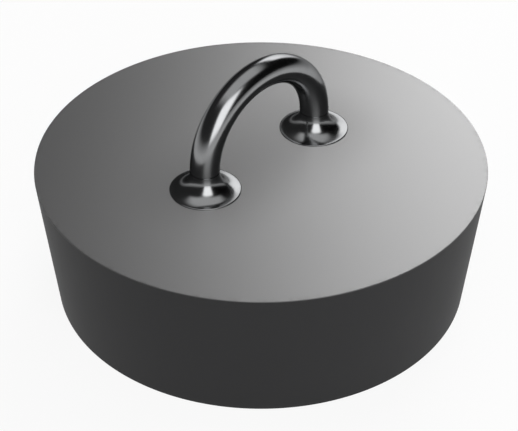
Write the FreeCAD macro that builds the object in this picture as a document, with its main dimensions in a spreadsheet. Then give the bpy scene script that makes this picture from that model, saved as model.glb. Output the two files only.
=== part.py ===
"""Drain stopper: a tapered rubber plug for a 1 3/4 inch waste outlet, with a chromed pull loop.

The loop is a small U-bolt. Each leg steps down to a stud that passes through a flared collar, a seal
ring, the rubber and a spacer sleeve, and is held in the hollow underside by a plate, a lock washer
and a nut. Millimetres, +Z up. The origin is the centre of the base, and the loop stands along X.
"""

import FreeCAD
import Part
import Sketcher

import math
import os

DRIVING_SIZES = [
    # Rubber body
    ("top_diameter", 46.0, "rubber across the flat top"),
    ("base_diameter", 43.0, "rubber across the base, smaller so that the plug wedges in the outlet"),
    ("body_height", 14.7, "base to flat top"),
    ("rim_radius", 0.2, "rounding of the top edge"),
    ("base_edge_radius", 0.4, "rounding of the outer base edge"),
    ("recess_corner_radius", 0.8, "rounding where the hollow meets its ceiling"),
    ("recess_draft", 0.6, "how much wider, on radius, the hollow is at its mouth"),
    ("mouth_edge_radius", 0.5, "rounding of the hollow's mouth"),
    # Pull loop
    ("leg_spacing", 15.6, "centre to centre of the two legs"),
    ("rod_diameter", 3.0, "bent rod"),
    ("shoulder_width", 0.25, "step, on radius, from rod to stud"),
    ("stud_tail", 1.0, "stud that shows past the nut"),
    ("stud_chamfer", 0.3, "lead-in at the stud's end"),
    ("stud_cover", 3.6, "height of the stud's end above the base"),
    # Collars and seals
    ("collar_lip", 0.12, "upright edge of the collar at the rubber"),
    ("collar_flare_radius", 2.08, "hollow sweep from the collar's edge up to the rod"),
    ("seal_section", 0.5, "thickness of the seal ring"),
    # Clamping hardware in the hollow
    ("bore_clearance", 0.05, "gap, on radius, round a stud"),
    ("sleeve_wall", 0.8, "wall of the spacer sleeve"),
    ("plate_width", 8.0, "backing plate across"),
    ("plate_end", 3.6, "backing plate beyond each stud"),
    ("plate_thickness", 1.0, "backing plate sheet"),
    ("plate_corner_radius", 2.0, "backing plate corners, in plan"),
    ("plate_clearance", 1.0, "gap from the plate's corners to the hollow's rounded edge"),
    ("washer_width", 1.25, "lock washer ring, on radius"),
    ("washer_thickness", 0.6, "lock washer, pressed flat"),
    ("washer_split", 9.0, "degrees left open at the lock washer's split"),
    ("nut_across_flats", 5.0, "hexagon nut"),
    ("nut_height", 2.0, "hexagon nut"),
    ("nut_chamfer_angle", 30.0, "degrees of the nut's corner chamfer"),
]

SIDES = (("left", -1), ("right", 1))

# Most of a plate's half width that a corner rounding may take.
CORNER_SHARE = 0.99
# Two lengths closer than this, in mm, are the same.
NEAR = 1e-4

# Sizes that follow from the driving ones, as expressions on the sheet named Sizes.
TOP_RADIUS = "Sizes.top_diameter / 2"
BASE_RADIUS = "Sizes.base_diameter / 2"
TOP = "Sizes.body_height"
LEG_X = "Sizes.leg_spacing / 2"
ROD_RADIUS = "Sizes.rod_diameter / 2"
STUD_RADIUS = f"({ROD_RADIUS} - Sizes.shoulder_width)"
BORE_RADIUS = f"({STUD_RADIUS} + Sizes.bore_clearance)"
SLEEVE_RADIUS = f"({BORE_RADIUS} + Sizes.sleeve_wall)"
WASHER_RADIUS = f"({BORE_RADIUS} + Sizes.washer_width)"

COLLAR_HEIGHT = "(Sizes.collar_lip + Sizes.collar_flare_radius)"
COLLAR_RADIUS = f"({ROD_RADIUS} + Sizes.collar_flare_radius)"
SEAL_POCKET_RADIUS = f"({STUD_RADIUS} + Sizes.seal_section)"

SHOULDER = f"({TOP} + {COLLAR_HEIGHT})"

STUD_END = "Sizes.stud_cover"
NUT_BASE = f"({STUD_END} + Sizes.stud_tail)"
WASHER_BASE = f"({NUT_BASE} + Sizes.nut_height)"
PLATE_BASE = f"({WASHER_BASE} + Sizes.washer_thickness)"
CEILING = f"({PLATE_BASE} + Sizes.plate_thickness)"

PLATE_HALF_LENGTH = f"({LEG_X} + Sizes.plate_end)"
PLATE_HALF_WIDTH = "Sizes.plate_width / 2"
PLATE_CORNER = f"min(Sizes.plate_corner_radius; {PLATE_HALF_WIDTH} * {CORNER_SHARE})"
CORNER_CENTRE_X = f"{PLATE_HALF_LENGTH} - {PLATE_CORNER}"
CORNER_CENTRE_Y = f"{PLATE_HALF_WIDTH} - {PLATE_CORNER}"
PLATE_REACH = f"(hypot({CORNER_CENTRE_X}; {CORNER_CENTRE_Y}) + {PLATE_CORNER})"
RECESS_RADIUS = f"({PLATE_REACH} + Sizes.plate_clearance + Sizes.recess_corner_radius)"
MOUTH_RADIUS = f"({RECESS_RADIUS} + Sizes.recess_draft)"

doc = FreeCAD.newDocument("DrainStopper")
sheet = doc.addObject("Spreadsheet::Sheet", "Sizes")
for row, (alias, number, meaning) in enumerate(DRIVING_SIZES, start=1):
    sheet.set(f"A{row}", alias)
    sheet.set(f"B{row}", str(number))
    sheet.set(f"C{row}", meaning)
    sheet.setAlias(f"B{row}", alias)
doc.recompute()


def value(expression):
    """The number that an expression on the sheet gives."""
    return float(sheet.evalExpression(expression))


def new_body(label):
    """An empty body, labelled with the name of its sub-part."""
    body = doc.addObject("PartDesign::Body", label)
    body.Label = label
    return body


def place(piece, x="0", z="0"):
    """Ties where a sub-part stands to the sheet."""
    piece.setExpression("Placement.Base.x", x)
    piece.setExpression("Placement.Base.z", z)


def new_sketch(body, name, plane, height=None):
    """A sketch on one of the body's own origin planes, raised to a height if one is given."""
    sketch = body.newObject("Sketcher::SketchObject", name)
    support = next(f for f in body.Origin.OriginFeatures if f.Role == plane)
    sketch.AttachmentSupport = [(support, "")]
    sketch.MapMode = "FlatFace"
    if height is not None:
        sketch.setExpression("AttachmentOffset.Base.z", height)
    return sketch


def bind(sketch, name, constraint, expression):
    """Adds a dimension to a sketch and ties it to the sheet."""
    index = sketch.addConstraint(constraint)
    sketch.renameConstraint(index, name)
    sketch.setExpression(f"Constraints.{name}", expression)


def pin_point(sketch, name, geometry, end, x, y):
    """Holds one point of a sketch at two expressions, on an axis where one is zero."""
    here = FreeCAD.Vector(value(x), value(y), 0)
    if x == "0":
        sketch.addConstraint(Sketcher.Constraint("PointOnObject", geometry, end, -2))
    else:
        bind(sketch, f"{name}_x", Sketcher.Constraint("DistanceX", -1, 1, geometry, end, here.x), x)
    if y == "0":
        sketch.addConstraint(Sketcher.Constraint("PointOnObject", geometry, end, -1))
    else:
        bind(sketch, f"{name}_y", Sketcher.Constraint("DistanceY", -1, 1, geometry, end, here.y), y)


def arc_between(start, end, centre_height, anticlockwise):
    """An arc from start to end whose centre lies at a height, and whether its ends came out swapped."""
    chord = end - start
    middle = (start + end) / 2
    along = (centre_height - middle.y) / chord.x
    centre = middle + FreeCAD.Vector(-chord.y, chord.x, 0) * along
    first, last = (start, end) if anticlockwise else (end, start)
    angles = [math.atan2(p.y - centre.y, p.x - centre.x) for p in (first, last)]
    circle = Part.Circle(centre, FreeCAD.Vector(0, 0, 1), (start - centre).Length)
    return Part.ArcOfCircle(circle, *angles), not anticlockwise


def draw(sketch, corners, arcs=None, closed=True):
    """Draws an outline through corners, each a pair of expressions.

    arcs gives the segments that are round: the corner that one starts from, with the height of the
    arc's centre and whether it runs anticlockwise.
    """
    arcs = arcs or {}
    points = [FreeCAD.Vector(value(x), value(y), 0) for x, y in corners]
    count = len(corners) if closed else len(corners) - 1
    starts, ends = [], []
    for i in range(count):
        start, end = points[i], points[(i + 1) % len(points)]
        first, last = 1, 2
        if i in arcs:
            height, anticlockwise = arcs[i]
            arc, swapped = arc_between(start, end, value(height), anticlockwise)
            geometry = sketch.addGeometry(arc)
            if swapped:
                first, last = last, first
        else:
            geometry = sketch.addGeometry(Part.LineSegment(start, end))
        starts.append((geometry, first))
        ends.append((geometry, last))
    for i in range(count if closed else count - 1):
        follower = starts[(i + 1) % count]
        sketch.addConstraint(Sketcher.Constraint("Coincident", *ends[i], *follower))
    for i, (x, y) in enumerate(corners):
        point = starts[i] if i < count else ends[-1]
        pin_point(sketch, f"corner{i}", *point, x, y)
    for i, (height, _) in arcs.items():
        centre = Sketcher.Constraint("DistanceY", -1, 1, starts[i][0], 3, value(height))
        bind(sketch, f"centre{i}", centre, height)


def draw_circle(sketch, name, x, radius):
    """Draws a circle on the sketch's X axis."""
    centre = FreeCAD.Vector(value(x), 0, 0)
    circle = Part.Circle(centre, FreeCAD.Vector(0, 0, 1), value(radius))
    geometry = sketch.addGeometry(circle)
    pin_point(sketch, f"{name}_centre", geometry, 3, x, "0")
    bind(sketch, f"{name}_radius", Sketcher.Constraint("Radius", geometry, value(radius)), radius)


def revolve(body, name, sketch, angle=None):
    """A revolution of a sketch about its upright axis, a full turn unless an angle is given."""
    feature = body.newObject("PartDesign::Revolution", name)
    feature.Profile = sketch
    feature.ReferenceAxis = (sketch, ["V_Axis"])
    if angle is not None:
        feature.setExpression("Angle", angle)
    doc.recompute()


def pad(body, name, sketch, length, downwards=False):
    """A pad of a flat sketch, upwards unless told otherwise."""
    feature = body.newObject("PartDesign::Pad", name)
    feature.Profile = sketch
    feature.Reversed = downwards
    feature.setExpression("Length", length)
    doc.recompute()


def recompute_cut(body, feature):
    """Recomputes after a cut, and stops the build if it took nothing away."""
    before = body.Shape.Volume
    doc.recompute()
    if not feature.Shape.Volume < before:
        raise RuntimeError(f"{body.Label}: {feature.Name} cut nothing")


def cut_up_through(body, name, sketch):
    """Cuts a sketch on the base plane up through the whole body."""
    feature = body.newObject("PartDesign::Pocket", name)
    feature.Profile = sketch
    feature.Type = "ThroughAll"
    feature.Reversed = True
    recompute_cut(body, feature)


def ring_edges(body, radius, height):
    """Names of the body's round edges of that radius at that height, both expressions."""
    names = []
    for index, edge in enumerate(body.Tip.Shape.Edges, start=1):
        curve = edge.Curve
        if not isinstance(curve, Part.Circle):
            continue
        if abs(curve.Radius - value(radius)) < NEAR and abs(curve.Center.z - value(height)) < NEAR:
            names.append(f"Edge{index}")
    return names


def upright_edges(body):
    """Names of the body's straight edges that run along Z."""
    names = []
    for index, edge in enumerate(body.Tip.Shape.Edges, start=1):
        if isinstance(edge.Curve, Part.Line) and abs(abs(edge.Curve.Direction.z) - 1) < NEAR:
            names.append(f"Edge{index}")
    return names


def soften(body, kind, name, edges, size):
    """Rounds (Fillet) or chamfers (Chamfer) named edges of the body as it stands."""
    if not edges:
        raise RuntimeError(f"{body.Label}: {name} found no edge")
    base = body.Tip
    feature = body.newObject(f"PartDesign::{kind}", name)
    feature.Base = (base, edges)
    feature.setExpression("Radius" if kind == "Fillet" else "Size", size)
    doc.recompute()


def make_stopper_body():
    """Moulded rubber plug: a tapered wall, a flat top and a hollow underside."""
    body = new_body("stopper_body")
    profile = new_sketch(body, "BodyProfile", "XZ_Plane")
    draw(
        profile,
        [
            (MOUTH_RADIUS, "0"),
            (BASE_RADIUS, "0"),
            (TOP_RADIUS, TOP),
            ("0", TOP),
            ("0", CEILING),
            (RECESS_RADIUS, CEILING),
        ],
    )
    revolve(body, "TaperedPlug", profile)
    for name, radius, height, size in (
        ("RimRounding", TOP_RADIUS, TOP, "Sizes.rim_radius"),
        ("BaseRounding", BASE_RADIUS, "0", "Sizes.base_edge_radius"),
        ("MouthRounding", MOUTH_RADIUS, "0", "Sizes.mouth_edge_radius"),
        ("RecessCorner", RECESS_RADIUS, CEILING, "Sizes.recess_corner_radius"),
    ):
        soften(body, "Fillet", name, ring_edges(body, radius, height), size)
    holes = new_sketch(body, "SleeveHoles", "XY_Plane")
    for side, sign in SIDES:
        draw_circle(holes, side, f"{sign} * {LEG_X}", SLEEVE_RADIUS)
    cut_up_through(body, "SleeveBores", holes)
    return body


def make_pull_loop():
    """Chromed rod bent into a half circle, with a stud turned on the end of each leg."""
    body = new_body("pull_loop")
    path = new_sketch(body, "BowPath", "XZ_Plane")
    half_circle = {0: (SHOULDER, False)}
    draw(path, [(f"-{LEG_X}", SHOULDER), (LEG_X, SHOULDER)], half_circle, closed=False)
    section = new_sketch(body, "RodSection", "XY_Plane", SHOULDER)
    draw_circle(section, "rod", f"-{LEG_X}", ROD_RADIUS)
    bow = body.newObject("PartDesign::AdditivePipe", "Bow")
    bow.Profile = section
    bow.Spine = (path, ["Edge1"])
    doc.recompute()
    studs = new_sketch(body, "StudSections", "XY_Plane", SHOULDER)
    for side, sign in SIDES:
        draw_circle(studs, side, f"{sign} * {LEG_X}", STUD_RADIUS)
    pad(body, "Studs", studs, f"{SHOULDER} - {STUD_END}", downwards=True)
    tips = ring_edges(body, STUD_RADIUS, STUD_END)
    soften(body, "Chamfer", "StudLeadIn", tips, "Sizes.stud_chamfer")
    return body


def make_collar(side, sign):
    """Turned collar: a hollow sweep from a thin edge up to the rod, with a seal pocket under it."""
    body = new_body(f"collar_{side}")
    profile = new_sketch(body, "CollarProfile", "XZ_Plane")
    draw(
        profile,
        [
            (SEAL_POCKET_RADIUS, "0"),
            (COLLAR_RADIUS, "0"),
            (COLLAR_RADIUS, "Sizes.collar_lip"),
            (ROD_RADIUS, COLLAR_HEIGHT),
            (BORE_RADIUS, COLLAR_HEIGHT),
            (BORE_RADIUS, "Sizes.seal_section"),
            (SEAL_POCKET_RADIUS, "Sizes.seal_section"),
        ],
        arcs={2: (COLLAR_HEIGHT, False)},
    )
    revolve(body, "Turning", profile)
    place(body, f"{sign} * {LEG_X}", TOP)
    return body


def make_seal_ring(side, sign):
    """Rubber ring in the collar's pocket, round the stud."""
    ring = doc.addObject("Part::Torus", f"seal_ring_{side}")
    ring.Label = f"seal_ring_{side}"
    ring.setExpression("Radius1", f"{STUD_RADIUS} + Sizes.seal_section / 2")
    ring.setExpression("Radius2", "Sizes.seal_section / 2")
    place(ring, f"{sign} * {LEG_X}", f"{TOP} + Sizes.seal_section / 2")
    return ring


def make_spacer_sleeve(side, sign):
    """Metal tube that keeps the nut from crushing the rubber."""
    body = new_body(f"spacer_sleeve_{side}")
    section = new_sketch(body, "TubeSection", "XY_Plane")
    draw_circle(section, "outside", "0", SLEEVE_RADIUS)
    draw_circle(section, "bore", "0", BORE_RADIUS)
    pad(body, "Tube", section, f"{TOP} - {CEILING}")
    place(body, f"{sign} * {LEG_X}", CEILING)
    return body


def make_backing_plate():
    """Sheet plate under the rubber that spreads the pull of both studs."""
    body = new_body("backing_plate")
    outline = new_sketch(body, "PlateOutline", "XY_Plane")
    draw(
        outline,
        [
            (f"-{PLATE_HALF_LENGTH}", f"-{PLATE_HALF_WIDTH}"),
            (PLATE_HALF_LENGTH, f"-{PLATE_HALF_WIDTH}"),
            (PLATE_HALF_LENGTH, PLATE_HALF_WIDTH),
            (f"-{PLATE_HALF_LENGTH}", PLATE_HALF_WIDTH),
        ],
    )
    pad(body, "SheetMetal", outline, "Sizes.plate_thickness")
    soften(body, "Fillet", "PlateCorners", upright_edges(body), PLATE_CORNER)
    holes = new_sketch(body, "StudHoles", "XY_Plane")
    for side, sign in SIDES:
        draw_circle(holes, side, f"{sign} * {LEG_X}", BORE_RADIUS)
    cut_up_through(body, "StudBores", holes)
    place(body, z=PLATE_BASE)
    return body


def make_lock_washer(side, sign):
    """Split spring washer, pressed flat by its nut."""
    body = new_body(f"lock_washer_{side}")
    profile = new_sketch(body, "RingSection", "XZ_Plane")
    draw(
        profile,
        [
            (BORE_RADIUS, "0"),
            (WASHER_RADIUS, "0"),
            (WASHER_RADIUS, "Sizes.washer_thickness"),
            (BORE_RADIUS, "Sizes.washer_thickness"),
        ],
    )
    revolve(body, "SplitRing", profile, "360 - Sizes.washer_split")
    place(body, f"{sign} * {LEG_X}", WASHER_BASE)
    return body


def make_nut(side, sign):
    """Hexagon nut, with its corners chamfered at both ends."""
    body = new_body(f"nut_{side}")
    hexagon = new_sketch(body, "Hexagon", "XY_Plane")
    corner = "Sizes.nut_across_flats / sqrt(3)"
    angles = range(0, 360, 60)
    draw(hexagon, [(f"{corner} * cos({a} deg)", f"{corner} * sin({a} deg)") for a in angles])
    pad(body, "HexBlock", hexagon, "Sizes.nut_height")
    flat = "Sizes.nut_across_flats / 2"
    slope = f"({flat} * tan(Sizes.nut_chamfer_angle * 1 deg))"
    for name, face, back in (
        ("LowerChamfer", "0", slope),
        ("UpperChamfer", "Sizes.nut_height", f"Sizes.nut_height - {slope}"),
    ):
        wedge = new_sketch(body, f"{name}Profile", "XZ_Plane")
        outer = "Sizes.nut_across_flats"
        draw(wedge, [(flat, face), (outer, face), (outer, back)])
        groove = body.newObject("PartDesign::Groove", name)
        groove.Profile = wedge
        groove.ReferenceAxis = (wedge, ["V_Axis"])
        recompute_cut(body, groove)
    bore = new_sketch(body, "BoreSection", "XY_Plane")
    draw_circle(bore, "bore", "0", BORE_RADIUS)
    cut_up_through(body, "Bore", bore)
    place(body, f"{sign} * {LEG_X}", NUT_BASE)
    return body


def check(pieces):
    """Stops the build if a feature failed or a sub-part has no sound solid."""
    for item in doc.Objects:
        if "Invalid" in item.State or "Error" in item.State:
            raise RuntimeError(f"{item.Label} failed: {item.State}")
    for piece in pieces:
        shape = piece.Shape
        if shape.isNull() or not shape.isValid() or len(shape.Solids) != 1:
            raise RuntimeError(f"{piece.Label} is not one sound solid")


sub_parts = [make_stopper_body(), make_pull_loop(), make_backing_plate()]
for maker in (make_collar, make_seal_ring, make_spacer_sleeve, make_lock_washer, make_nut):
    sub_parts += [maker(side, sign) for side, sign in SIDES]
doc.recompute()
check(sub_parts)

os.makedirs("parts", exist_ok=True)
for piece in sub_parts:
    piece.Shape.exportStep(f"parts/{piece.Label}.step")
    box = piece.Shape.optimalBoundingBox()
    size = f"{box.XLength:.2f} x {box.YLength:.2f} x {box.ZLength:.2f} mm"
    print(f"{piece.Label}: {size}, from z {box.ZMin:.2f}, volume {piece.Shape.Volume:.2f} mm3")
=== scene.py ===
import math

import bmesh
import bpy
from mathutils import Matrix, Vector


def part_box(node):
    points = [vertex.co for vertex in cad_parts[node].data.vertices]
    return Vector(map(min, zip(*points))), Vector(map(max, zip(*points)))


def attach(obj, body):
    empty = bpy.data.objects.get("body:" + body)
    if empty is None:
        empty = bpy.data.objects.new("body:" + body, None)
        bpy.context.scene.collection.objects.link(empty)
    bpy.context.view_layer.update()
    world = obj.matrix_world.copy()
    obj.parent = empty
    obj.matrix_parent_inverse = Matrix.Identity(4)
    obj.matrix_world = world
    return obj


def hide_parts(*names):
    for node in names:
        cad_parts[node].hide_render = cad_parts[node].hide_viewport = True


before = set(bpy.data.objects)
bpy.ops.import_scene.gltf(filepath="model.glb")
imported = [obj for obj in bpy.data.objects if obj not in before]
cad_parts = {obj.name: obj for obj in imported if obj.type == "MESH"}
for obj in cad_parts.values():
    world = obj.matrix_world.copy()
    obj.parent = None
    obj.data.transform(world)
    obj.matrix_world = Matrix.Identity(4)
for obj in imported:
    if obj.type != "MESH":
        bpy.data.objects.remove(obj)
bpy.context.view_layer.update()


# Plug: one moulding of dark satin rubber, with a tapered wall, a flat top and a hollow underside.
# Its mould is turned, so every edge is a little round, and two bores run through it for the sleeves.
# The top is glazed by a polished mould plate. Its glaze is thinned under the loop as painted shade, a soft
# darkening round the feet.

MM = 0.001
NEAR = 0.001 * MM

body_low, body_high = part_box("stopper_body")
sleeve_low, sleeve_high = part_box("spacer_sleeve_right")
top = body_high.z
ceiling = sleeve_low.z
leg = (sleeve_low.x + sleeve_high.x) / 2
sleeve_radius = (sleeve_high.x - sleeve_low.x) / 2
top_radius = 23.0 * MM
base_radius = 21.5 * MM
recess_radius = 13.41 * MM
mouth_radius = 14.01 * MM
plug_sides = 256
bore_sides = 64
bore_overrun = 1.0 * MM

# How far each rounding reaches along the two faces that it joins, and in how many steps.
plug_roundings = (
    (top_radius, top, 0.08 * MM, 3),
    (base_radius, 0, 0.12 * MM, 4),
    (mouth_radius, 0, 0.48 * MM, 6),
    (recess_radius, ceiling, 0.8 * MM, 8),
)


def turn(name, rings, sides, x=0.0, hollow=False):
    """Turns a piece about an upright axis at x: a circle, extruded and scaled from ring to ring.

    Each ring is a radius and a height. The two ends are closed by flat faces or, on a hollow piece,
    joined by a wall.
    """
    bpy.ops.object.select_all(action="DESELECT")
    radius, height = rings[0]
    bpy.ops.mesh.primitive_circle_add(vertices=sides, radius=radius, location=(x, 0, height))
    piece = bpy.context.object
    piece.name = name
    bpy.ops.object.transform_apply()
    bpy.ops.object.mode_set(mode="EDIT")
    bpy.ops.mesh.select_all(action="SELECT")
    for next_radius, next_height in rings[1:]:
        rise = (0, 0, next_height - height)
        bpy.ops.mesh.extrude_region_move(TRANSFORM_OT_translate={"value": rise})
        growth = next_radius / radius
        bpy.ops.transform.resize(value=(growth, growth, 1), center_override=(x, 0, next_height))
        radius, height = next_radius, next_height
    bpy.ops.mesh.select_mode(type="EDGE")
    bpy.ops.mesh.select_all(action="DESELECT")
    bpy.ops.mesh.select_non_manifold()
    if hollow:
        bpy.ops.mesh.bridge_edge_loops()
    else:
        bpy.ops.mesh.fill_holes(sides=0)
    face_outwards()
    bpy.ops.object.mode_set(mode="OBJECT")
    return piece


def face_outwards():
    """Turns every face of the piece in edit mode outwards."""
    bpy.ops.mesh.select_all(action="SELECT")
    bpy.ops.mesh.normals_make_consistent(inside=False)


def take(piece):
    """Selects one piece alone, and makes it the active one."""
    bpy.ops.object.select_all(action="DESELECT")
    piece.select_set(True)
    bpy.context.view_layer.objects.active = piece


def pick_edges(piece, wanted):
    """Selects, in edit mode, only the edges that pass a test on their two ends."""
    bpy.ops.mesh.select_mode(type="EDGE")
    bpy.ops.mesh.select_all(action="DESELECT")
    shape = bmesh.from_edit_mesh(piece.data)
    for edge in shape.edges:
        edge.select_set(wanted(*(end.co for end in edge.verts)))
    bmesh.update_edit_mesh(piece.data)


def on_ring(radius, height, x=0.0):
    """A test for the edges of one ring about the upright axis at x."""

    def near(point):
        reach = math.hypot(point.x - x, point.y)
        return abs(reach - radius) < NEAR and abs(point.z - height) < NEAR

    return lambda start, end: near(start) and near(end)


def round_ring(piece, radius, height, reach, steps, x=0.0):
    """Rounds the edge that runs round a turned piece at a radius and a height."""
    take(piece)
    bpy.ops.object.mode_set(mode="EDIT")
    pick_edges(piece, on_ring(radius, height, x))
    bpy.ops.mesh.bevel(offset=reach, segments=steps, affect="EDGES")
    bpy.ops.object.mode_set(mode="OBJECT")


def apply_modifier(piece, kind, **settings):
    """Adds a modifier to a piece and applies it at once."""
    take(piece)
    modifier = piece.modifiers.new(kind.lower(), kind)
    for setting, value in settings.items():
        setattr(modifier, setting, value)
    bpy.ops.object.modifier_apply(modifier=modifier.name)


def carve(piece, tool):
    """Cuts a tool's shape out of a piece, and throws the tool away."""
    apply_modifier(piece, "BOOLEAN", object=tool, operation="DIFFERENCE", solver="EXACT")
    bpy.data.objects.remove(tool)


def smooth(piece, crease):
    """Shades a piece smooth up to a crease angle in degrees, with its flat faces kept flat."""
    take(piece)
    bpy.ops.object.shade_smooth_by_angle(angle=math.radians(crease))
    apply_modifier(piece, "WEIGHTED_NORMAL", keep_sharp=True)


plug = turn(
    "rubber_plug",
    [(recess_radius, ceiling), (mouth_radius, 0), (base_radius, 0), (top_radius, top)],
    plug_sides,
)
for radius, height, reach, steps in plug_roundings:
    round_ring(plug, radius, height, reach, steps)
for x in (-leg, leg):
    bore = [(sleeve_radius, ceiling - bore_overrun), (sleeve_radius, top + bore_overrun)]
    carve(plug, turn("sleeve_bore", bore, bore_sides, x))
smooth(plug, crease=35)


class Wire:
    """A node's output. Arithmetic on wires adds Math nodes, and node() adds a node of any kind."""

    def __init__(self, tree, socket):
        self.tree = tree
        self.socket = socket

    def node(self, kind, settings, sockets, output=0):
        """Adds a node: first its settings, then a value or a wire for each socket."""
        made = self.tree.nodes.new(kind)
        for name, value in settings.items():
            setattr(made, name, value)
        self.fill(made, sockets)
        return Wire(self.tree, made.outputs[output])

    def fill(self, node, sockets):
        """Sets each named socket of a node to a value, or links it to a wire."""
        for name, value in sockets.items():
            if isinstance(value, Wire):
                self.tree.links.new(value.socket, node.inputs[name])
            else:
                node.inputs[name].default_value = value

    def math(self, operation, *terms):
        """Adds a Math node on terms that are wires or numbers."""
        return self.node("ShaderNodeMath", {"operation": operation}, dict(enumerate(terms)))

    def __add__(self, other):
        return self.math("ADD", self, other)

    def __radd__(self, other):
        return self.math("ADD", other, self)

    def __sub__(self, other):
        return self.math("SUBTRACT", self, other)

    def __rsub__(self, other):
        return self.math("SUBTRACT", other, self)

    def __mul__(self, other):
        return self.math("MULTIPLY", self, other)

    def __rmul__(self, other):
        return self.math("MULTIPLY", other, self)

    def __pow__(self, other):
        return self.math("POWER", self, other)

    def __abs__(self):
        return self.math("ABSOLUTE", self)

    def axis(self, name):
        """One of the X, Y and Z parts of a vector."""
        return self.node("ShaderNodeSeparateXYZ", {}, {"Vector": self}, name)

    def stretched(self, *scale):
        """A vector scaled apart along X, Y and Z."""
        return self.node("ShaderNodeMapping", {}, {"Vector": self, "Scale": scale})

    def noise(self, grain, detail=2.0):
        """Soft noise on a vector, from 0 to 1, whose blotches are a grain across."""
        sockets = {"Vector": self, "Scale": 1 / grain, "Detail": detail}
        return self.node("ShaderNodeTexNoise", {}, sockets, "Fac")

    def ramp(self, low, high):
        """0 below low, 1 above high and a smooth rise between them."""
        settings = {"interpolation_type": "SMOOTHSTEP", "clamp": True}
        sockets = {"Value": self, "From Min": low, "From Max": high}
        return self.node("ShaderNodeMapRange", settings, sockets)

    def blend(self, first, second):
        """A colour between two, as far along as this wire says.

        A Mix node's colours are its sockets 6 and 7, and the mixed colour is its output 2.
        """
        settings = {"data_type": "RGBA"}
        return self.node("ShaderNodeMix", settings, {0: self, 6: first, 7: second}, 2)

    def bump(self, depth):
        """A surface normal from this wire as a height, which is depth high at 1."""
        return self.node("ShaderNodeBump", {}, {"Height": self, "Distance": depth})


def new_finish(name):
    """A new material, its surface shader, and where on the object a point lies."""
    finish = bpy.data.materials.new(name)
    finish.use_nodes = True
    tree = finish.node_tree
    place = Wire(tree, tree.nodes.new("ShaderNodeTexCoord").outputs["Object"])
    return finish, tree.nodes["Principled BSDF"], place


def near_ring(place, radius, height, reach):
    """1 on an edge that runs round the plug's axis, and 0 from a reach away."""
    across = (place.axis("X") ** 2 + place.axis("Y") ** 2) ** 0.5 - radius
    up = place.axis("Z") - height
    return 1 - ((across ** 2 + up ** 2) ** 0.5).ramp(0.0, reach)


rubber_dark = (0.022, 0.022, 0.023, 1)
rubber_worn = (0.050, 0.050, 0.050, 1)
top_wear = 0.7 * MM
base_wear = 0.9 * MM
glaze_depth = 0.12 * MM
loop_shade_reach = 10 * MM
rubber, shader, place = new_finish("satin_rubber")
clouds = place.noise(grain=6 * MM, detail=3)
grain = place.noise(grain=0.16 * MM)
drag_marks = place.stretched(1, 1, 0.05).noise(grain=0.35 * MM)
edges = near_ring(place, top_radius, top, top_wear) + near_ring(place, base_radius, 0, base_wear)
wear = edges * place.noise(grain=0.8 * MM, detail=4).ramp(0.42, 0.7)
glazed = place.axis("Z").ramp(top - glaze_depth, top)
# Painted shade: the glaze is thinned under the loop's bow and for 10 mm round its feet, which darkens the
# top there like a soft contact shadow.
past_feet = place.math("MAXIMUM", abs(place.axis("X")) - leg, 0)
from_loop = (past_feet ** 2 + place.axis("Y") ** 2) ** 0.5
loop_shade_mask = 1 - from_loop.ramp(0.0, loop_shade_reach)
rubber_tone = wear * 0.3 + clouds * 0.12
rubber_sheen = 0.55 - glazed * 0.06 + clouds * 0.05 + drag_marks * 0.03 + wear * 0.05
# The coat is thinned by the edge wear and by the painted shade under the loop.
place.fill(shader, {
    "Base Color": rubber_tone.blend(rubber_dark, rubber_worn),
    "Roughness": rubber_sheen,
    "IOR": 1.28,
    "Coat Weight": glazed * (1 - wear * 0.2 - loop_shade_mask * 0.26),
    "Coat Roughness": 0.40,
    "Coat IOR": 2.1,
    "Normal": (grain + clouds * 0.5).bump(depth=0.0008 * MM),
})
plug.data.materials.append(rubber)
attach(plug, "root")
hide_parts("stopper_body")


# Spacer sleeves: two short lengths of drawn brass tube in the bores, as long as the rubber is thick.
# The nuts tighten against them and not against the rubber. The solids already have their shape.

brass_bright = (0.72, 0.56, 0.28, 1)
brass_dull = (0.46, 0.33, 0.15, 1)
brass, shader, place = new_finish("drawn_brass")
draw_lines = place.stretched(1, 1, 0.03).noise(grain=0.2 * MM, detail=3)
tarnish = place.noise(grain=2.5 * MM, detail=4).ramp(0.45, 0.75)
place.fill(shader, {
    "Base Color": (tarnish * 0.6).blend(brass_bright, brass_dull),
    "Metallic": 1.0,
    "Roughness": 0.24 + draw_lines * 0.12 + tarnish * 0.15,
    "Normal": draw_lines.bump(depth=0.002 * MM),
})
for node in ("spacer_sleeve_left", "spacer_sleeve_right"):
    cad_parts[node].material_slots[0].material = brass


# Seal rings: small rings of black nitrile rubber in pockets under the collars.
# They are moulded, slip over the studs and are squeezed flat against the plug.

nitrile_black = (0.012, 0.012, 0.013, 1)
nitrile_bloom = (0.035, 0.035, 0.036, 1)
nitrile, shader, place = new_finish("black_nitrile")
bloom = place.noise(grain=0.9 * MM, detail=3).ramp(0.5, 0.8)
place.fill(shader, {
    "Base Color": (bloom * 0.5).blend(nitrile_black, nitrile_bloom),
    "Roughness": 0.42 + bloom * 0.2,
    "Normal": place.noise(grain=0.08 * MM).bump(depth=0.001 * MM),
})
for node in ("seal_ring_left", "seal_ring_right"):
    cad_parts[node].material_slots[0].material = nitrile


# Collars: two turned brass flares, plated with chrome, that sweep from a thin edge up to the loop's rod.
# Each has a pocket underneath for its seal ring, and the loop's shoulder presses it onto the plug.

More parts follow.
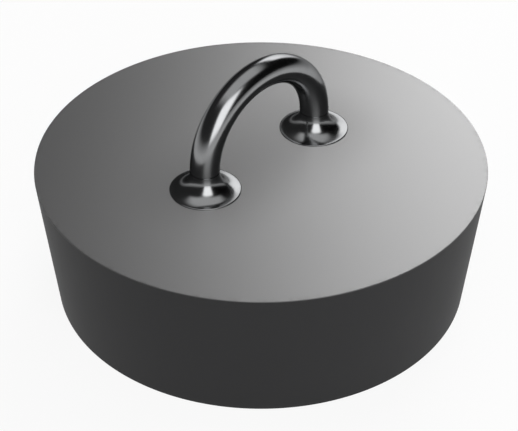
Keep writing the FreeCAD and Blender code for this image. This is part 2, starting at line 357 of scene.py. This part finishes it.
collar_low, collar_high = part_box("collar_left")
seal_low, seal_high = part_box("seal_ring_left")
loop_low, loop_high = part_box("pull_loop")
collar_radius = (collar_high.x - collar_low.x) / 2
rod_radius = (loop_high.y - loop_low.y) / 2
pocket_radius = (seal_high.x - seal_low.x) / 2
pocket_top = seal_high.z
flare = collar_radius - rod_radius
shoulder = collar_high.z
stud_radius = 1.25 * MM
stud_bore = 1.3 * MM
lip_rounding = 0.1 * MM
lip_steps = 3
collar_sides = 128
flare_steps = 32

flare_rings = []
for step in range(flare_steps + 1):
    angle = math.pi * (1 + 0.5 * step / flare_steps)
    flare_rings.append((collar_radius + flare * math.cos(angle), shoulder + flare * math.sin(angle)))
collar_rings = [
    (stud_bore, shoulder),
    *flare_rings,
    (collar_radius, top),
    (pocket_radius, top),
    (pocket_radius, pocket_top),
    (stud_bore, pocket_top),
]
left_collar = turn("left_collar", collar_rings, collar_sides, -leg, hollow=True)
for height in (shoulder - flare, top):
    round_ring(left_collar, collar_radius, height, lip_rounding, lip_steps, -leg)
smooth(left_collar, crease=40)


def copy_across(piece, name):
    """Copies a piece, with a mesh of its own, from the left leg to the right one."""
    take(piece)
    bpy.ops.object.duplicate(linked=False)
    bpy.ops.transform.translate(value=(2 * leg, 0, 0))
    bpy.ops.object.transform_apply()
    bpy.context.object.name = name
    return bpy.context.object


chrome_bright = (0.27, 0.274, 0.278, 1)
chrome_hazed = (0.24, 0.244, 0.248, 1)
chrome, shader, place = new_finish("polished_chrome")
smudges = place.noise(grain=1.8 * MM, detail=4).ramp(0.45, 0.75)
polish_lines = place.stretched(1, 1, 0.15).noise(grain=0.12 * MM, detail=3)
place.fill(shader, {
    "Base Color": (smudges * 0.5).blend(chrome_bright, chrome_hazed),
    "Metallic": 1.0,
    "Specular Tint": (0.35, 0.35, 0.35, 1),
    "Roughness": 0.16 + smudges * 0.05 + polish_lines * 0.02,
    "Normal": polish_lines.bump(depth=0.0002 * MM),
})
collars = {"collar_left": left_collar, "collar_right": copy_across(left_collar, "right_collar")}
for node, collar in collars.items():
    collar.data.materials.append(chrome)
    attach(collar, "root")
    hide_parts(node)


# Pull loop: a 3 mm brass rod bent to a half circle, polished and plated with chrome.
# Each end is turned down to a stud with a fine thread, which passes through its collar and the plug.

stud_end = loop_low.z
thread_top = stud_end + 5.0 * MM
thread_pitch = 0.45 * MM
thread_depth = 0.27 * MM
# Shares of half a pitch: the crest is flat up to the first, and the root is flat from the second on.
thread_crest = 0.15
thread_root = 0.8
stud_chamfer = 0.3 * MM
shoulder_rounding = 0.004 * MM
rod_sides = 64
bow_steps = 96
rings_per_turn = 12

bpy.ops.object.select_all(action="DESELECT")
bpy.ops.mesh.primitive_circle_add(vertices=rod_sides, radius=rod_radius, location=(-leg, 0, shoulder))
loop = bpy.context.object
loop.name = "loop_rod"
bpy.ops.object.transform_apply()
bpy.ops.object.mode_set(mode="EDIT")
bpy.ops.mesh.select_all(action="SELECT")
bpy.ops.mesh.spin(steps=bow_steps, angle=-math.pi, center=(0, 0, shoulder), axis=(0, 1, 0))


def on_thread(start, end):
    """A test for the edges that run down the whole length of the thread."""
    low, high = sorted((start.z, end.z))
    return abs(low - stud_end) < NEAR and abs(high - thread_top) < NEAR


for x in (-leg, leg):
    pick_edges(loop, on_ring(rod_radius, shoulder, x))
    bpy.ops.mesh.extrude_region_move()
    step_down = stud_radius / rod_radius
    bpy.ops.transform.resize(value=(step_down, step_down, 1), center_override=(x, 0, shoulder))
    for drop in (thread_top - shoulder, stud_end - thread_top):
        bpy.ops.mesh.extrude_region_move(TRANSFORM_OT_translate={"value": (0, 0, drop)})
    bpy.ops.mesh.edge_face_add()
    pick_edges(loop, on_ring(rod_radius, shoulder, x))
    bpy.ops.mesh.bevel(offset=shoulder_rounding, segments=2, affect="EDGES")
pick_edges(loop, on_thread)
thread_rings = round((thread_top - stud_end) / thread_pitch * rings_per_turn)
bpy.ops.mesh.subdivide_edgering(number_cuts=thread_rings - 1, interpolation="LINEAR")
face_outwards()
bpy.ops.object.mode_set(mode="OBJECT")

for point in loop.data.vertices:
    height = point.co.z
    if height > thread_top - NEAR:
        continue
    axis = Vector((math.copysign(leg, point.co.x), 0, height))
    arm = point.co - axis
    turns = (height - stud_end) / thread_pitch - math.atan2(arm.y, arm.x) / math.tau
    fold = abs(2 * (turns % 1) - 1)
    groove = min(max((fold - thread_crest) / (thread_root - thread_crest), 0), 1)
    run_out = min((thread_top - height) / thread_pitch, 1)
    lead_in = stud_radius - stud_chamfer + height - stud_end
    reach = min(stud_radius - thread_depth * groove * run_out, lead_in)
    point.co = axis + arm.normalized() * reach
smooth(loop, crease=65)
loop.data.materials.append(chrome)
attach(loop, "root")
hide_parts("pull_loop")


# Backing plate: a strip of stainless sheet in the hollow, which spreads the pull of both studs.
# It is blanked with round corners and two holes, brushed along its length and tumbled.

plate_low, plate_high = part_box("backing_plate")
plate_size = plate_high - plate_low
plate_middle = (plate_low + plate_high) / 2
plate_corner = 2.0 * MM
plate_corner_steps = 12
plate_edge = 0.1 * MM

bpy.ops.object.select_all(action="DESELECT")
bpy.ops.mesh.primitive_plane_add(size=1, location=(plate_middle.x, plate_middle.y, plate_low.z))
plate = bpy.context.object
plate.name = "clamp_plate"
plate.scale = (plate_size.x, plate_size.y, 1)
bpy.ops.object.transform_apply()
bpy.ops.object.mode_set(mode="EDIT")
bpy.ops.mesh.select_all(action="SELECT")
bpy.ops.mesh.bevel(offset=plate_corner, segments=plate_corner_steps, affect="VERTICES")
bpy.ops.mesh.select_all(action="SELECT")
bpy.ops.mesh.extrude_region_move(TRANSFORM_OT_translate={"value": (0, 0, plate_size.z)})
face_outwards()
bpy.ops.object.mode_set(mode="OBJECT")
for x in (-leg, leg):
    bore = [(stud_bore, plate_low.z - bore_overrun), (stud_bore, plate_high.z + bore_overrun)]
    carve(plate, turn("stud_hole", bore, bore_sides, x))
apply_modifier(plate, "BEVEL", width=plate_edge, segments=3, limit_method="ANGLE")
smooth(plate, crease=40)

steel_bright = (0.58, 0.58, 0.57, 1)
steel_dull = (0.44, 0.44, 0.43, 1)
brushed_steel, shader, place = new_finish("brushed_stainless")
brushing = place.stretched(0.02, 1, 1).noise(grain=0.06 * MM, detail=4)
handling = place.noise(grain=2.2 * MM, detail=3).ramp(0.45, 0.7)
place.fill(shader, {
    "Base Color": (handling * 0.3 + brushing * 0.3).blend(steel_bright, steel_dull),
    "Metallic": 1.0,
    "Roughness": 0.22 + brushing * 0.16 + handling * 0.08,
    "Normal": brushing.bump(depth=0.002 * MM),
})
plate.data.materials.append(brushed_steel)
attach(plate, "root")
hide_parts("backing_plate")


# Lock washers: two split rings of spring steel, cut from square wire and pressed flat by the nuts.
# The ends at the split bite into the nut and the plate, and keep the nuts from working loose.

washer_low, washer_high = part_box("lock_washer_left")
washer_radius = (washer_high.x - washer_low.x) / 2
washer_width = washer_radius - stud_bore
washer_thickness = washer_high.z - washer_low.z
washer_split = math.radians(9)
washer_edge = 0.08 * MM
washer_steps = 90

bpy.ops.object.select_all(action="DESELECT")
wire_middle = Vector((stud_bore + washer_width / 2 - leg, 0, (washer_low.z + washer_high.z) / 2))
bpy.ops.mesh.primitive_plane_add(size=1, location=wire_middle, rotation=(math.pi / 2, 0, 0))
left_washer = bpy.context.object
left_washer.name = "left_split_washer"
left_washer.scale = (washer_width, washer_thickness, 1)
bpy.ops.object.transform_apply()
bpy.ops.object.mode_set(mode="EDIT")
bpy.ops.mesh.select_all(action="SELECT")
bpy.ops.mesh.bevel(offset=washer_edge, segments=3, affect="VERTICES")
bpy.ops.mesh.select_all(action="SELECT")
bpy.ops.mesh.spin(
    steps=washer_steps, angle=washer_split - math.tau, center=(-leg, 0, washer_low.z), axis=(0, 0, 1)
)
face_outwards()
bpy.ops.object.mode_set(mode="OBJECT")
smooth(left_washer, crease=40)

tool_feed = 0.07 * MM
turned_steel, shader, place = new_finish("turned_stainless")
from_axis = ((abs(place.axis("X")) - leg) ** 2 + place.axis("Y") ** 2) ** 0.5
tool_marks = place.math("SINE", from_axis * (math.tau / tool_feed))
soiling = place.noise(grain=0.9 * MM, detail=4).ramp(0.45, 0.75)
place.fill(shader, {
    "Base Color": (soiling * 0.5).blend(steel_bright, steel_dull),
    "Metallic": 1.0,
    "Roughness": 0.2 + soiling * 0.15 + tool_marks * 0.03,
    "Normal": (tool_marks + place.noise(grain=0.1 * MM) * 2).bump(depth=0.0006 * MM),
})
washers = {
    "lock_washer_left": left_washer,
    "lock_washer_right": copy_across(left_washer, "right_split_washer"),
}
for node, washer in washers.items():
    washer.data.materials.append(turned_steel)
    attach(washer, "root")
    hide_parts(node)


# Nuts: two plain stainless hexagon nuts on the studs, chamfered at both ends.
# Each is turned with its chamfers and its hole, which is countersunk where the thread starts,
# and six flats are milled on it.

nut_low, nut_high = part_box("nut_left")
nut_flat = (nut_high.y - nut_low.y) / 2
nut_middle = (nut_low + nut_high) / 2
face_inset = 0.12 * MM
nut_face = nut_flat - face_inset
chamfer_angle = math.radians(30)
chamfer_run = 1.0 * MM
chamfer_rise = chamfer_run * math.tan(chamfer_angle)
countersink = 0.25 * MM
nut_edge = 0.03 * MM
nut_edge_angle = math.radians(20)
# An odd multiple of 6, so that each corner of the hexagon lies in the middle of a turned facet.
nut_sides = 90

nut_rings = [
    (stud_bore, nut_low.z + countersink),
    (stud_bore + countersink, nut_low.z),
    (nut_face, nut_low.z),
    (nut_face + chamfer_run, nut_low.z + chamfer_rise),
    (nut_face + chamfer_run, nut_high.z - chamfer_rise),
    (nut_face, nut_high.z),
    (stud_bore + countersink, nut_high.z),
    (stud_bore, nut_high.z - countersink),
]
left_nut = turn("left_hex_nut", nut_rings, nut_sides, -leg, hollow=True)
bpy.ops.object.mode_set(mode="EDIT")
for flat in range(6):
    angle = math.radians(30 + 60 * flat)
    outwards = Vector((math.cos(angle), math.sin(angle), 0))
    bpy.ops.mesh.select_all(action="SELECT")
    bpy.ops.mesh.bisect(
        plane_co=nut_middle + outwards * nut_flat,
        plane_no=outwards,
        use_fill=True,
        clear_outer=True,
        threshold=NEAR,
    )
face_outwards()
bpy.ops.object.mode_set(mode="OBJECT")
apply_modifier(
    left_nut, "BEVEL", width=nut_edge, segments=2, limit_method="ANGLE", angle_limit=nut_edge_angle
)
smooth(left_nut, crease=30)
nuts = {"nut_left": left_nut, "nut_right": copy_across(left_nut, "right_hex_nut")}
for node, nut in nuts.items():
    nut.data.materials.append(turned_steel)
    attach(nut, "root")
    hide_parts(node)


# Studio floor: a round pale sheet that the plug stands on, swept up at its edge as a low backdrop.
# It isn't part of the plug. What is seen of it directly is nearly white round the plug and greyer
# far off, and it keeps the plug's shadow.

floor_drop = 0.01 * MM
floor_radius = 1.35
sweep_radius = 0.25
sweep_steps = 24
floor_sides = 128

sweep_rings = []
for step in range(sweep_steps + 1):
    angle = 0.5 * math.pi * step / sweep_steps
    reach = floor_radius + sweep_radius * math.sin(angle)
    sweep_rings.append((reach, sweep_radius * (1 - math.cos(angle)) - floor_drop))
bpy.ops.object.select_all(action="DESELECT")
bpy.ops.mesh.primitive_circle_add(
    vertices=floor_sides, radius=floor_radius, fill_type="NGON", location=(0, 0, -floor_drop)
)
floor = bpy.context.object
floor.name = "studio_floor"
bpy.ops.object.transform_apply()
bpy.ops.object.mode_set(mode="EDIT")
pick_edges(floor, on_ring(floor_radius, -floor_drop))
for (reach, height), (next_reach, next_height) in zip(sweep_rings, sweep_rings[1:]):
    rise = (0, 0, next_height - height)
    bpy.ops.mesh.extrude_region_move(TRANSFORM_OT_translate={"value": rise})
    growth = next_reach / reach
    bpy.ops.transform.resize(value=(growth, growth, 1), center_override=(0, 0, next_height))
bpy.ops.object.mode_set(mode="OBJECT")
smooth(floor, crease=60)

floor_white = (0.9, 0.9, 0.9, 1)
floor_grey = (0.24, 0.24, 0.24, 1)
seen_white = (1, 1, 1, 1)
seen_grey = (0.30, 0.30, 0.30, 1)
seen_share = 0.9
white_radius = 0.070
grey_radius = 0.50
grey_height = 0.22
floor_share = 0.4
floor_paint, shader, place = new_finish("pale_studio_floor")
from_plug = (place.axis("X") ** 2 + place.axis("Y") ** 2) ** 0.5
far_out = from_plug.ramp(white_radius, grey_radius)
far_up = place.axis("Z").ramp(0.0, grey_height)
far = far_out * floor_share + far_up * (1 - floor_share)
place.fill(shader, {
    "Base Color": far.blend(floor_white, floor_grey),
    "Roughness": 0.9,
    "Specular IOR Level": 0.1,
})
camera_ray = place.node("ShaderNodeLightPath", {}, {}, "Is Camera Ray")
glossy_ray = place.node("ShaderNodeLightPath", {}, {}, "Is Glossy Ray")
clear_ray = place.node("ShaderNodeLightPath", {}, {}, "Is Transmission Ray")
seen_tone = place.node("ShaderNodeEmission", {}, {"Color": far.blend(seen_white, seen_grey)})
seen_directly = (camera_ray + glossy_ray + clear_ray) * seen_share
painted = Wire(floor_paint.node_tree, shader.outputs["BSDF"])
seen = place.node("ShaderNodeMixShader", {}, {0: seen_directly, 1: painted, 2: seen_tone})
place.fill(floor_paint.node_tree.nodes["Material Output"], {"Surface": seen})
floor.data.materials.append(floor_paint)


# Studio light: four soft boxes round the plug, in a dim room that is darker on the right.
# The key stands behind and to the right and spares the chrome, which has a rim box of its own there.
# One box stands in front of the plug, a little to the right, and one hangs overhead.

camera_azimuth = math.radians(-45)
away = Vector((-math.sin(camera_azimuth), math.cos(camera_azimuth), 0))
right = Vector((away.y, -away.x, 0))
soft_edge = 0.5


def hang_soft_box(name, azimuth, elevation, distance, width, height, brightness):
    """Hangs a soft box that faces the plug. Azimuth is measured to the right of the view's far side."""
    azimuth, elevation = math.radians(azimuth), math.radians(elevation)
    level = away * math.cos(azimuth) + right * math.sin(azimuth)
    outwards = level * math.cos(elevation) + Vector((0, 0, math.sin(elevation)))
    lamp = bpy.data.lights.new(name, "AREA")
    lamp.shape = "RECTANGLE"
    lamp.size = width
    lamp.size_y = height
    lamp.energy = brightness * math.pi * width * height
    lamp.use_nodes = True
    spot = Wire(lamp.node_tree, lamp.node_tree.nodes.new("ShaderNodeNewGeometry").outputs["Parametric"])
    across, up = ((1 - abs(2 * spot.axis(side) - 1)).ramp(0.0, soft_edge) for side in "XY")
    spot.fill(lamp.node_tree.nodes["Emission"], {"Color": across * up})
    box = bpy.data.objects.new(name, lamp)
    box.location = Vector((0, 0, top)) + outwards * distance
    box.rotation_euler = outwards.to_track_quat("Z", "Y").to_euler()
    bpy.context.collection.objects.link(box)
    return box


def share_light(box, pieces, state):
    """Lets only these pieces (INCLUDE), or all but these (EXCLUDE), catch and block a soft box's light."""
    group = bpy.data.collections.new(box.name)
    for piece in pieces:
        group.objects.link(piece)
    for item in group.collection_objects:
        item.light_linking.link_state = state
    box.light_linking.receiver_collection = group
    box.light_linking.blocker_collection = group


chromed = [loop, *collars.values()]
key_box = hang_soft_box(
    "key_box", azimuth=22, elevation=29, distance=0.36, width=0.28, height=0.36, brightness=5.0
)
rim_box = hang_soft_box(
    "rim_box", azimuth=17, elevation=24, distance=0.8, width=0.55, height=0.70, brightness=2.8
)
hang_soft_box(
    "front_box", azimuth=165, elevation=30, distance=0.9, width=0.90, height=1.15, brightness=2.95
)
hang_soft_box(
    "overhead_box", azimuth=0, elevation=90, distance=0.7, width=1.10, height=1.10, brightness=0.90
)
share_light(key_box, chromed, "EXCLUDE")
share_light(rim_box, chromed, "INCLUDE")

room_left = (0.045, 0.045, 0.045, 1)
room_right = (0.006, 0.006, 0.006, 1)
room_turn = 0.6
room = bpy.data.worlds.new("dim_room")
room.use_nodes = True
bpy.context.scene.world = room
sky = Wire(room.node_tree, room.node_tree.nodes.new("ShaderNodeTexCoord").outputs["Generated"])
to_right = sky.node("ShaderNodeVectorMath", {"operation": "DOT_PRODUCT"}, {0: sky, 1: right}, "Value")
room_tone = to_right.ramp(-room_turn, room_turn).blend(room_left, room_right)
sky.fill(room.node_tree.nodes["Background"], {"Color": room_tone})


# Camera: the photograph's viewpoint, found by fitting the plug's two rims and the loop to it.
# It looks down on the near-left leg, with a long lens.

camera_elevation = math.radians(36.69)
camera_distance = 166.64 * MM
aim_right = -0.199 * MM
aim_up = -5.889 * MM
lens_mm = 113.69
sensor_mm = 36.0

view = away * math.cos(camera_elevation) - Vector((0, 0, math.sin(camera_elevation)))
aim = Vector((0, 0, top)) + right * aim_right + right.cross(view) * aim_up
lens = bpy.data.cameras.new("photo_view")
lens.lens = lens_mm
lens.sensor_width = sensor_mm
lens.clip_start = 1 * MM
lens.clip_end = 10
camera = bpy.data.objects.new("photo_view", lens)
camera.location = aim - view * camera_distance
camera.rotation_euler = view.to_track_quat("-Z", "Y").to_euler()
bpy.context.collection.objects.link(camera)
bpy.context.scene.camera = camera
bpy.context.scene.view_settings.view_transform = "Standard"
